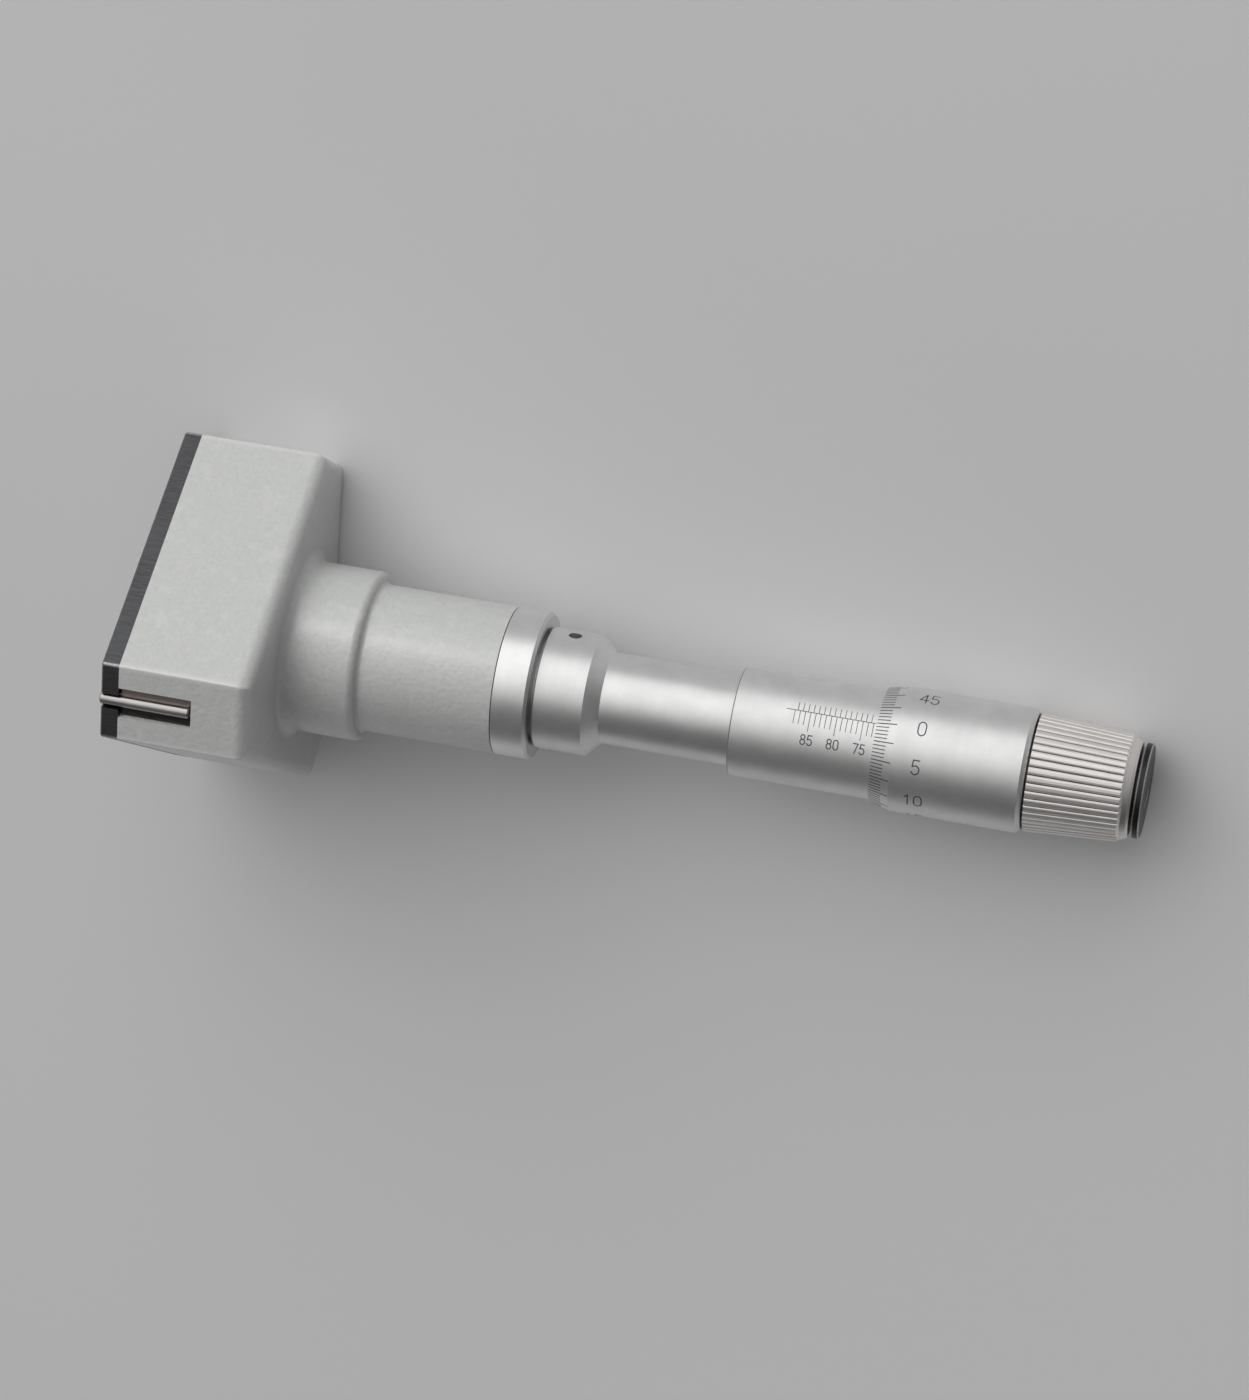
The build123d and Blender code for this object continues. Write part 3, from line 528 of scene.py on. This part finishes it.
DIGITS = {
    "0": [arc(0.5, 1.35, 0.5, 0.65, 0, 180) + arc(0.5, 0.65, 0.5, 0.65, 180, 360) + [(1.0, 1.35)]],
    "1": [[(0.15, 1.55), (0.55, 2.0), (0.55, 0.0)]],
    "2": [arc(0.5, 1.48, 0.5, 0.52, 170, -30, 14) + [(0.0, 0.0), (1.02, 0.0)]],
    "3": [arc(0.5, 1.50, 0.46, 0.50, 160, -70, 14) + [(0.5, 1.06)] + arc(0.5, 0.53, 0.52, 0.53, 80, -160, 16)],
    "4": [[(0.74, 0.0), (0.74, 2.0), (0.0, 0.55), (1.05, 0.55)]],
    "5": [[(0.94, 2.0), (0.14, 2.0), (0.07, 1.12)] + arc(0.48, 0.62, 0.52, 0.62, 125, -155, 18)],
    "7": [[(0.0, 2.0), (1.0, 2.0), (0.36, 0.0)]],
    "8": [
        arc(0.5, 1.52, 0.42, 0.48, -90, 270, 24)[:-1] + [(0.5, 1.04)],
        arc(0.5, 0.53, 0.5, 0.53, 90, 450, 26)[:-1] + [(0.5, 1.06)],
    ],
}


def stroke(marks, points, place, width):
    """A pen stroke with round ends along flat points; place maps a flat point to (x, angle)."""
    pts = [Vector(p) for p in points]
    clean = [pts[0]]
    for p in pts[1:]:
        if (p - clean[-1]).length > 1e-4:
            clean.append(p)
    closed = (clean[0] - clean[-1]).length < 1e-3
    if closed:
        clean.pop()
    # finer points, so that the stroke follows the curve of the metal
    fine = []
    count = len(clean)
    for k in range(count if closed else count - 1):
        a, b = clean[k], clean[(k + 1) % count]
        steps = max(1, int((b - a).length / 0.12))
        fine += [a.lerp(b, s / steps) for s in range(steps)]
    if not closed:
        fine.append(clean[-1])
    n = len(fine)
    left, right = [], []
    for k, p in enumerate(fine):
        prev = fine[(k - 1) % n] if closed or k else p
        nxt = fine[(k + 1) % n] if closed or k < n - 1 else p
        d1 = (p - prev).normalized() if (p - prev).length > 1e-9 else None
        d2 = (nxt - p).normalized() if (nxt - p).length > 1e-9 else None
        if d1 is None:
            d1 = d2
        if d2 is None:
            d2 = d1
        n1 = Vector((-d1.y, d1.x))
        n2 = Vector((-d2.y, d2.x))
        m = (n1 + n2)
        m = m.normalized() if m.length > 1e-6 else n1
        h = width / 2 / max(0.45, m.dot(n1))
        left.append(p + m * h)
        right.append(p - m * h)
    bm = marks.bm

    def pair(q):
        x, a = place(q)
        r = marks.r_at(x)
        return bm.verts.new(at(x, a, r + PROUD)), bm.verts.new(at(x, a, r - SUNK))

    L = [pair(q) for q in left]
    R = [pair(q) for q in right]
    C = [pair(q) for q in fine]
    f = bm.faces.new
    for k in range(n if closed else n - 1):
        j = (k + 1) % n
        f((L[k][0], C[k][0], C[j][0], L[j][0]))
        f((C[k][0], R[k][0], R[j][0], C[j][0]))
        f((L[k][1], L[j][1], C[j][1], C[k][1]))
        f((C[k][1], C[j][1], R[j][1], R[k][1]))
        f((L[k][0], L[j][0], L[j][1], L[k][1]))
        f((R[k][0], R[k][1], R[j][1], R[j][0]))
    if not closed:
        for k, sign in ((0, -1), (n - 1, 1)):
            p = fine[k]
            d = (fine[1] - fine[0]) if k == 0 else (fine[-1] - fine[-2])
            d = d.normalized() * sign
            a, b = left[k] - p, right[k] - p
            cap = []
            for s in range(1, 8):
                w = math.pi * s / 8
                cap.append(p + a.normalized() * (width / 2) * math.cos(w) + d * (width / 2) * math.sin(w))
            ring = [L[k]] + [pair(q) for q in cap] + [R[k]]
            for s in range(len(ring) - 1):
                f((C[k][0], ring[s][0], ring[s + 1][0]))
                f((C[k][1], ring[s + 1][1], ring[s][1]))
                f((ring[s][0], ring[s][1], ring[s + 1][1], ring[s + 1][0]))


def numeral(marks, text, x, angle, height, width, r, pen, gap):
    """Numerals read with the knob to the right; their tops point to lower angles."""
    total = len(text) * width + (len(text) - 1) * gap
    for k, ch in enumerate(text):
        x0 = x - total / 2 + k * (width + gap)

        def place(q, x0=x0):
            return x0 + q.x, angle - math.degrees((q.y - height / 2) / r)

        for pts in DIGITS[ch]:
            stroke(marks, [(px * width, py * height / 2) for px, py in pts], place, pen)


# sleeve: 1 mm ticks on the numerals' side of the datum, half-millimetres on the other
SLEEVE_R = 10.45
DATUM = 41.4
X75 = 139.1  # 75 on the sleeve; larger readings lie towards the head, 1 mm for each 1 mm
sleeve = Marks(lambda x: SLEEVE_R)
sleeve.axial_tick(124.4, 147.5, DATUM, 0.13)
deg = 180 / math.pi / SLEEVE_R
for reading in range(69, 89):
    x = X75 - (reading - 75)
    if x > 146.5:
        continue
    length = 3.75 if reading % 5 == 0 else 2.65
    sleeve.ring_tick(x, DATUM + 0.03 * deg, DATUM + length * deg, 0.12)
for reading in range(69, 88):
    x = X75 - (reading + 0.5 - 75)
    if x > 146.5:
        continue
    sleeve.ring_tick(x, DATUM - 0.03 * deg, DATUM - 1.7 * deg, 0.12)
for reading in (75, 80, 85):
    numeral(sleeve, str(reading), X75 - (reading - 75), DATUM + 5.35 * deg, 1.85, 0.90, SLEEVE_R, 0.20, 0.38)
sleeve.object("sleeve_scale", "head")


def thimble_radius(x):
    if x < 145.6:
        return 10.9 + (x - 141.6) * (11.88 - 10.9) / 4.0
    return 11.88


thimble = Marks(thimble_radius)
for k in range(100):
    a = DATUM + k * 3.6
    if k % 5 == 0:
        thimble.axial_tick(141.72, 145.55, a, 0.19)
    else:
        thimble.axial_tick(141.72, 144.15, a, 0.17)
for k in range(10):
    numeral(thimble, str(k * 5), 150.3, DATUM + 36 * k, 2.75, 1.45, 11.88, 0.22, 0.55)
thimble.object("thimble_scale", "thimble")


# ------------------------------------------------------------------ return springs
def return_spring(number):
    """The slide's return spring, from the foot's back to the wall of the casting, copied from the CAD part onto the
    head.
    """
    plain = nodes["return_spring_%d" % number]
    o = bpy.data.objects.new("spring_%d" % number, plain.data.copy())
    bpy.context.scene.collection.objects.link(o)
    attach(o, "head")
    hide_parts(plain.name)
    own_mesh(o)


for number, angle in enumerate((90.0, 210.0, 330.0), 1):
    return_spring(number)


# ------------------------------------------------------------------ floor, light and camera
def floor():
    m, t, s = material("floor")
    v = t.nodes.new("ShaderNodeTexCoord").outputs["Object"]
    n = noise(t, v, 3.0, 2.0, 0.5)
    link(t, ramp(t, n, [(0.3, (0.83, 0.83, 0.833)), (0.7, (0.85, 0.85, 0.853))]), s.inputs["Base Color"])
    s.inputs["Roughness"].default_value = 0.75
    s.inputs["Specular IOR Level"].default_value = 0.25
    me = bpy.data.meshes.new("floor")
    q = 6.0
    me.from_pydata([(-q, -q, 0), (q, -q, 0), (q, q, 0), (-q, q, 0)], [], [(0, 1, 2, 3)])
    me.materials.append(m)
    o = bpy.data.objects.new("floor", me)
    bpy.context.scene.collection.objects.link(o)


floor()


def softbox(name, direction, distance, size_x, size_y, power, color=(1, 1, 1), aim=None):
    d = direction.normalized()
    data = bpy.data.lights.new(name, "AREA")
    data.shape = "RECTANGLE"
    data.size, data.size_y = size_x, size_y
    data.energy = power
    data.color = color
    o = bpy.data.objects.new(name, data)
    target = aim or at(96)
    o.location = target + d * distance
    z = d
    x = (AX - z * AX.dot(z)).normalized()
    y = z.cross(x)
    o.rotation_euler = Matrix((x, y, z)).transposed().to_euler()
    o.visible_camera = False
    bpy.context.scene.collection.objects.link(o)
    return o


def angle_dir(angle, along=0.0):
    a = math.radians(angle)
    return tool_dir(along, math.cos(a), math.sin(a))


# the panel in the sky below gives the metals their broad highlight, so the key adds none of its own
softbox("key", angle_dir(36, -0.35), 1.2, 1.3, 1.0, 3.4).visible_glossy = False
# a smaller panel that only gives the paint its soft gleam
gleam = softbox("gleam", angle_dir(37, -0.42), 1.2, 0.42, 0.30, 1.95)
painted = bpy.data.collections.new("painted")
painted.objects.link(nodes["head_housing"])
gleam.light_linking.receiver_collection = painted
# low light from the far side, for the faces that the key doesn't reach
fill = softbox("fill", angle_dir(170, 0.12), 1.2, 1.2, 0.4, 1.1)
fill.visible_glossy = False

# sky: a long bright panel beside and above the tool, fading to dim behind it
world = bpy.data.worlds.new("studio")
bpy.context.scene.world = world
world.use_nodes = True
wt = world.node_tree
bg = wt.nodes["Background"]
look_at = wt.nodes.new("ShaderNodeTexCoord").outputs["Generated"]


def along_axis(axis):
    d = node(wt, "ShaderNodeVectorMath", operation="DOT_PRODUCT")
    link(wt, look_at, d.inputs[0])
    d.inputs[1].default_value = axis
    return d.outputs["Value"]


side, height, length = along_axis(SIDE), along_axis(UP), along_axis(AX)
turn = math_node(wt, "MULTIPLY", math_node(wt, "ARCTAN2", height, side), 180 / math.pi)  # degrees from +Y upwards
sky = ramp(wt, map_range(wt, turn, -180, 180, 0, 1), [
    ((a + 180) / 360, grey(v))
    for a, v in (
        (-180, 0.34), (-40, 0.50), (0, 0.88), (14, 0.95), (34, 1.0), (50, 0.93), (66, 0.76),
        (82, 0.52), (97, 0.26), (110, 0.13), (150, 0.09), (166, 0.16), (180, 0.34),
    )
])
ends = ramp(wt, map_range(wt, length, -1, 1, 0, 1), [
    (0.0, grey(0.5)), (0.2, grey(1.0)), (0.5, grey(1.0)), (0.62, grey(0.42)), (0.76, grey(0.08)), (0.9, grey(0.10)), (0.965, grey(0.34)), (1.0, grey(0.40)),
])
# towards both ends of the tool the panel's edges fade out, so that they don't meet in a point
pole = map_range(wt, math_node(wt, "ABSOLUTE", length), 0.78, 0.97, 0.0, 1.0)
sky = math_node(wt, "ADD", math_node(wt, "MULTIPLY", sky, math_node(wt, "SUBTRACT", 1.0, pole)), math_node(wt, "MULTIPLY", pole, 0.42))
level = math_node(wt, "MULTIPLY", sky, ends)
link(wt, math_node(wt, "MULTIPLY", level, 1.26), bg.inputs["Strength"])
bg.inputs["Color"].default_value = (0.993, 0.993, 0.991, 1)

# the photograph's camera, turned to look at the middle of the tool
EYE = Vector((253.568, 422.008, 813.296))
FWD = Vector((-0.1595906, -0.38994937, -0.9069015))
RIGHT = Vector((0.97453226, 0.08437151, -0.20776987))


def tool_to_world(v):
    return AX * v.x + SIDE * v.y + UP * v.z


eye = (ORG + tool_to_world(EYE)) / 1000
look = at(92.5, 60, 2.0)
old = tool_to_world(FWD).normalized()
new = (look - eye).normalized()
swing = old.rotation_difference(new)
right = swing @ tool_to_world(RIGHT).normalized()
right = (right - new * right.dot(new)).normalized()
up = right.cross(new)
cam_data = bpy.data.cameras.new("camera")
cam = bpy.data.objects.new("camera", cam_data)
bpy.context.scene.collection.objects.link(cam)
cam.matrix_world = Matrix.Translation(eye) @ Matrix((right, up, -new)).transposed().to_4x4()
cam_data.sensor_width = 36
cam_data.lens = 36 * 2850 * 1.72 / 1400
cam_data.clip_start = 0.05
cam_data.clip_end = 50
bpy.context.scene.camera = cam

view = bpy.context.scene.view_settings
view.view_transform = "Standard"
view.look = "None"
view.exposure = 0.0
view.gamma = 1.0
